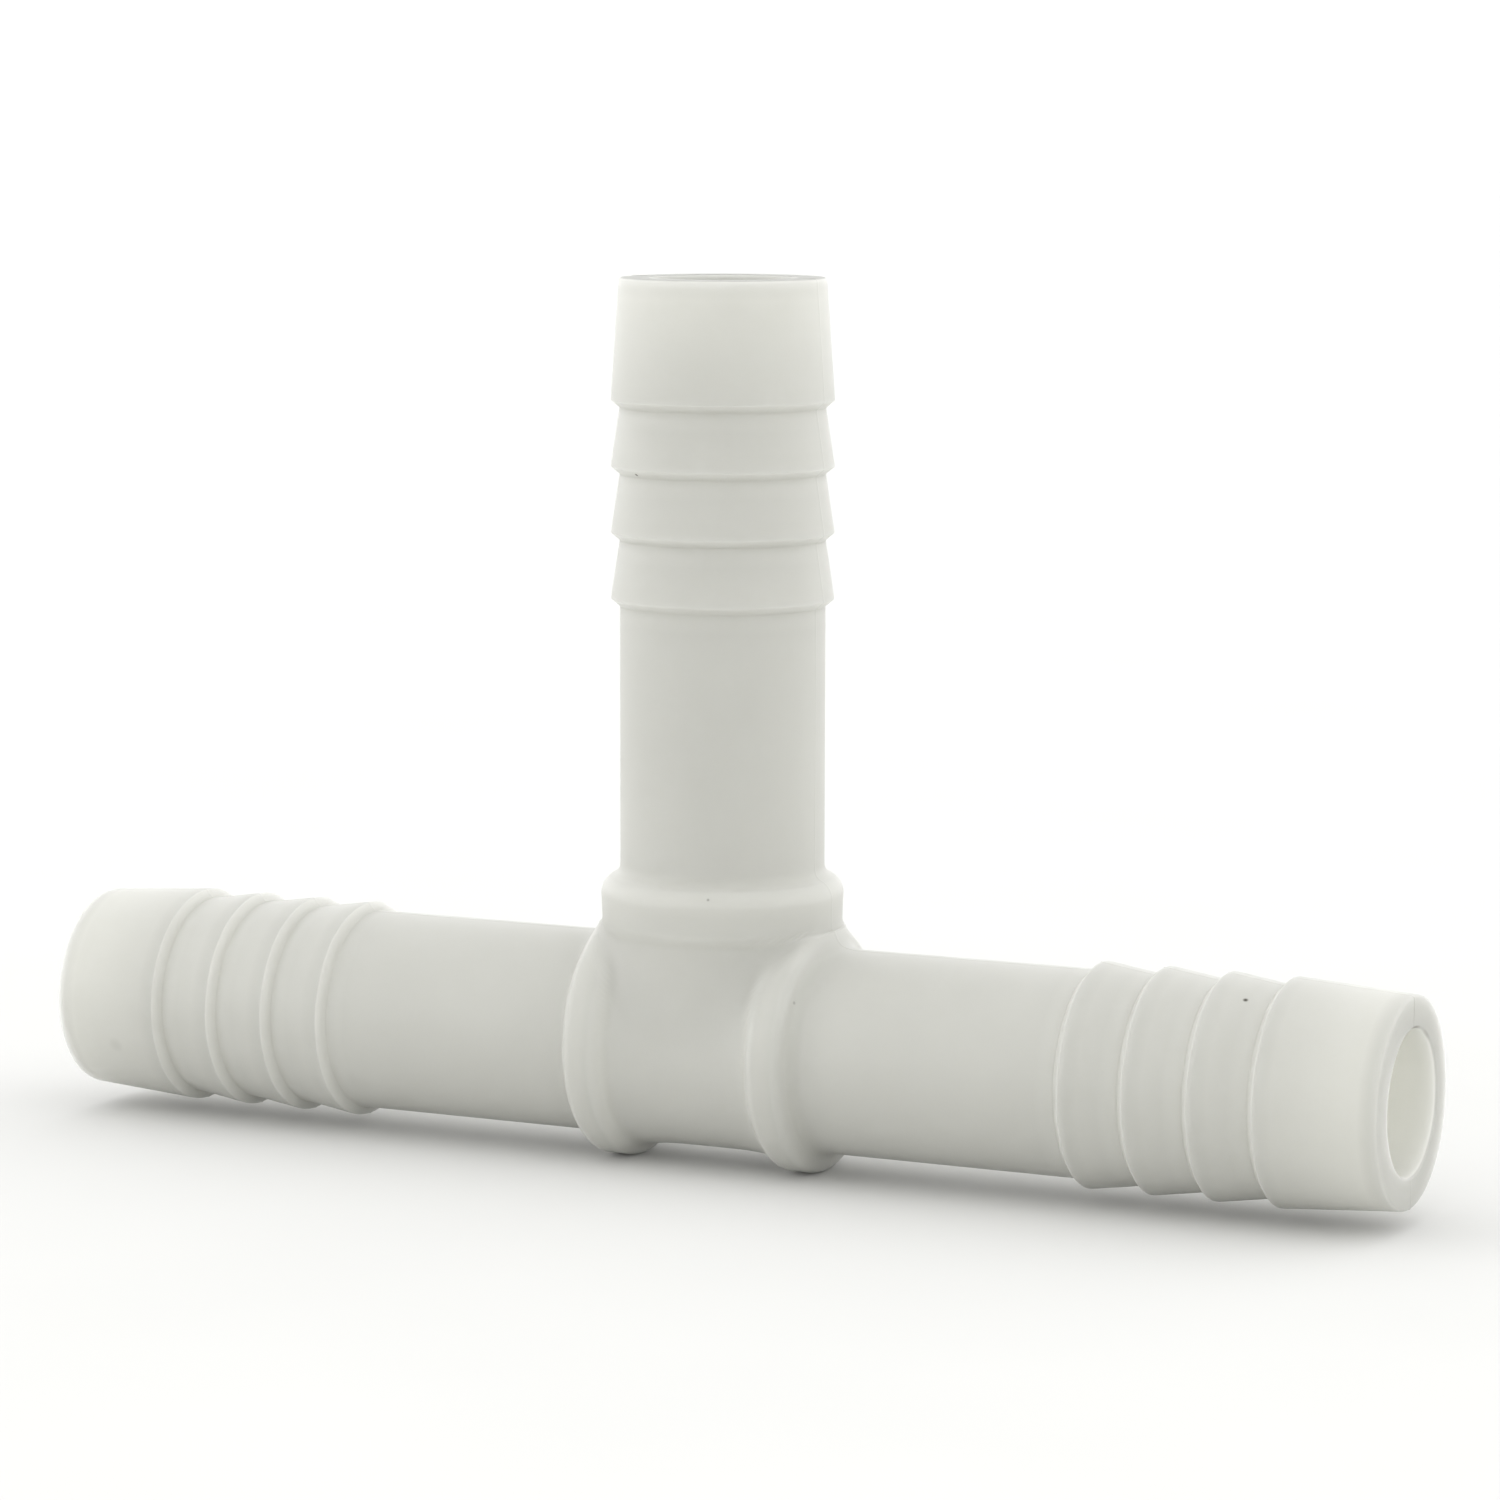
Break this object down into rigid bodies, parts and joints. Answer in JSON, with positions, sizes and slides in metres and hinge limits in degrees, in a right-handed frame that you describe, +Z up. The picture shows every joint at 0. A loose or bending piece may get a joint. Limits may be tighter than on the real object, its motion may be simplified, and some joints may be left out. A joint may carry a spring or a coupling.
{
  "type": "barbed tee connector",
  "caption": "Equal barbed tee for half-inch irrigation hose: three four-barb spigots with stop collars, open right through.",
  "frame": {"origin": "the crossing of the run's axis and the branch's axis, in the middle of the hub", "axes": "+X along the run to the right-hand spigot, +Z up the branch, +Y through the fitting's thin side"},
  "size_m": [0.0904, 0.0154, 0.0552],
  "materials": {
    "natural_nylon": "natural polyamide as moulded: milky, slightly translucent, satin"
  },
  "bodies": {
    "root": {"hub_body": "natural_nylon", "run_left_stop_collar": "natural_nylon", "run_right_stop_collar": "natural_nylon", "branch_stop_collar": "natural_nylon", "run_left_shank": "natural_nylon", "run_left_barb_1": "natural_nylon", "run_left_barb_2": "natural_nylon", "run_left_barb_3": "natural_nylon", "run_left_barb_4": "natural_nylon", "run_right_shank": "natural_nylon", "run_right_barb_1": "natural_nylon", "run_right_barb_2": "natural_nylon", "run_right_barb_3": "natural_nylon", "run_right_barb_4": "natural_nylon", "branch_shank": "natural_nylon", "branch_barb_1": "natural_nylon", "branch_barb_2": "natural_nylon", "branch_barb_3": "natural_nylon", "branch_barb_4": "natural_nylon"}
  },
  "joints": []
}
